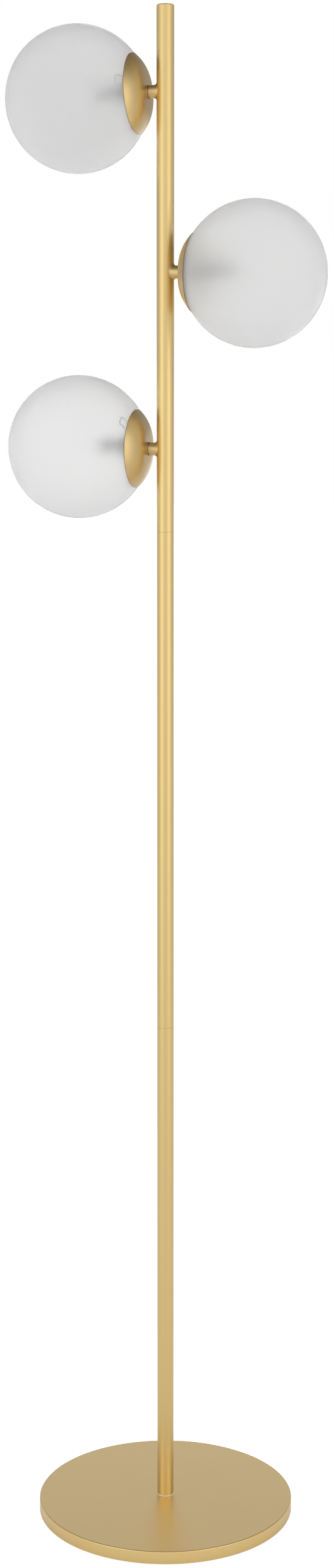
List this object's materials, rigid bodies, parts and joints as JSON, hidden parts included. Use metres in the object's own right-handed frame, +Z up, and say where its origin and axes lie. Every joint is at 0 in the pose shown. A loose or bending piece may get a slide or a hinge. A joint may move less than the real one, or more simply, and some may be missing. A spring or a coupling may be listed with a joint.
{
  "type": "floor lamp",
  "caption": "Floor lamp with a flat round foot, a slim straight pole and frosted glass globes held close to its upper part on alternating sides by small dished arms.",
  "frame": {"origin": "centre of the foot's underside, on the floor", "axes": "+Z up along the pole; the arms lie along X, the top and bottom ones to -X and the middle one to +X, each within 3 degrees of level; +Y is the side that the cord leaves towards"},
  "size_m": [0.3415, 0.28, 1.6177],
  "materials": {
    "brass_look_paint": "satin brass-coloured coat",
    "cast_iron": "as cast, painted dark",
    "foot_rubber": "matt black",
    "zinc_steel": "zinc plated",
    "spring_steel": "bright drawn wire",
    "brass": "turned",
    "clear_plastic": "translucent, pale",
    "black_plastic": "matt",
    "lead_sheath": "matt",
    "socket_ceramic": "unglazed, off-white",
    "bulb_glass": "frosted capsule",
    "frosted_glass": "etched outside, smooth inside"
  },
  "bodies": {
    "stand": {"base_cover": "brass_look_paint", "base_weight": "cast_iron", "base_pad": "foot_rubber", "base_stud": "zinc_steel", "base_nut": "zinc_steel", "base_lock_washer": "zinc_steel", "foot_washer": "clear_plastic", "cord_bush": "black_plastic", "pole_lower": "brass_look_paint", "pole_middle": "brass_look_paint", "pole_upper": "brass_look_paint", "foot_ferrule": "zinc_steel", "lower_joint_stud": "zinc_steel", "lower_joint_socket": "zinc_steel", "upper_joint_stud": "zinc_steel", "upper_joint_socket": "zinc_steel", "top_cap": "brass_look_paint", "main_lead": "lead_sheath", "wire_splice": "black_plastic", "arm_stub_1": "brass_look_paint", "arm_collar_1": "brass_look_paint", "dish_1": "brass_look_paint", "nipple_1": "brass", "nipple_nut_1": "brass", "clip_carrier_1": "zinc_steel", "spring_clips_1": "spring_steel", "socket_1": "socket_ceramic", "socket_contacts_1": "brass", "arm_lead_1": "lead_sheath", "arm_stub_2": "brass_look_paint", "arm_collar_2": "brass_look_paint", "dish_2": "brass_look_paint", "nipple_2": "brass", "nipple_nut_2": "brass", "clip_carrier_2": "zinc_steel", "spring_clips_2": "spring_steel", "socket_2": "socket_ceramic", "socket_contacts_2": "brass", "arm_lead_2": "lead_sheath", "arm_stub_3": "brass_look_paint", "arm_collar_3": "brass_look_paint", "dish_3": "brass_look_paint", "nipple_3": "brass", "nipple_nut_3": "brass", "clip_carrier_3": "zinc_steel", "spring_clips_3": "spring_steel", "socket_3": "socket_ceramic", "socket_contacts_3": "brass", "arm_lead_3": "lead_sheath"},
    "globe_1": {"globe_1": "frosted_glass"},
    "bulb_1": {"bulb_1": "bulb_glass", "bulb_pins_1": "spring_steel"},
    "globe_2": {"globe_2": "frosted_glass"},
    "bulb_2": {"bulb_2": "bulb_glass", "bulb_pins_2": "spring_steel"},
    "globe_3": {"globe_3": "frosted_glass"},
    "bulb_3": {"bulb_3": "bulb_glass", "bulb_pins_3": "spring_steel"}
  },
  "joints": [
    {"name": "globe_1_pull", "type": "slide", "parent": "stand", "child": "globe_1", "axis": [-0.999, 0, -0.0436], "range_m": [0, 0.06], "deforming": ["spring_clips_1"]},
    {"name": "bulb_1_pull", "type": "slide", "parent": "stand", "child": "bulb_1", "axis": [-0.999, 0, -0.0436], "range_m": [0, 0.018]},
    {"name": "globe_2_pull", "type": "slide", "parent": "stand", "child": "globe_2", "axis": [0.9991, 0, -0.0419], "range_m": [0, 0.06], "deforming": ["spring_clips_2"]},
    {"name": "bulb_2_pull", "type": "slide", "parent": "stand", "child": "bulb_2", "axis": [0.9991, 0, -0.0419], "range_m": [0, 0.018]},
    {"name": "globe_3_pull", "type": "slide", "parent": "stand", "child": "globe_3", "axis": [-0.9996, 0, 0.0279], "range_m": [0, 0.06], "deforming": ["spring_clips_3"]},
    {"name": "bulb_3_pull", "type": "slide", "parent": "stand", "child": "bulb_3", "axis": [-0.9996, 0, 0.0279], "range_m": [0, 0.018]}
  ]
}
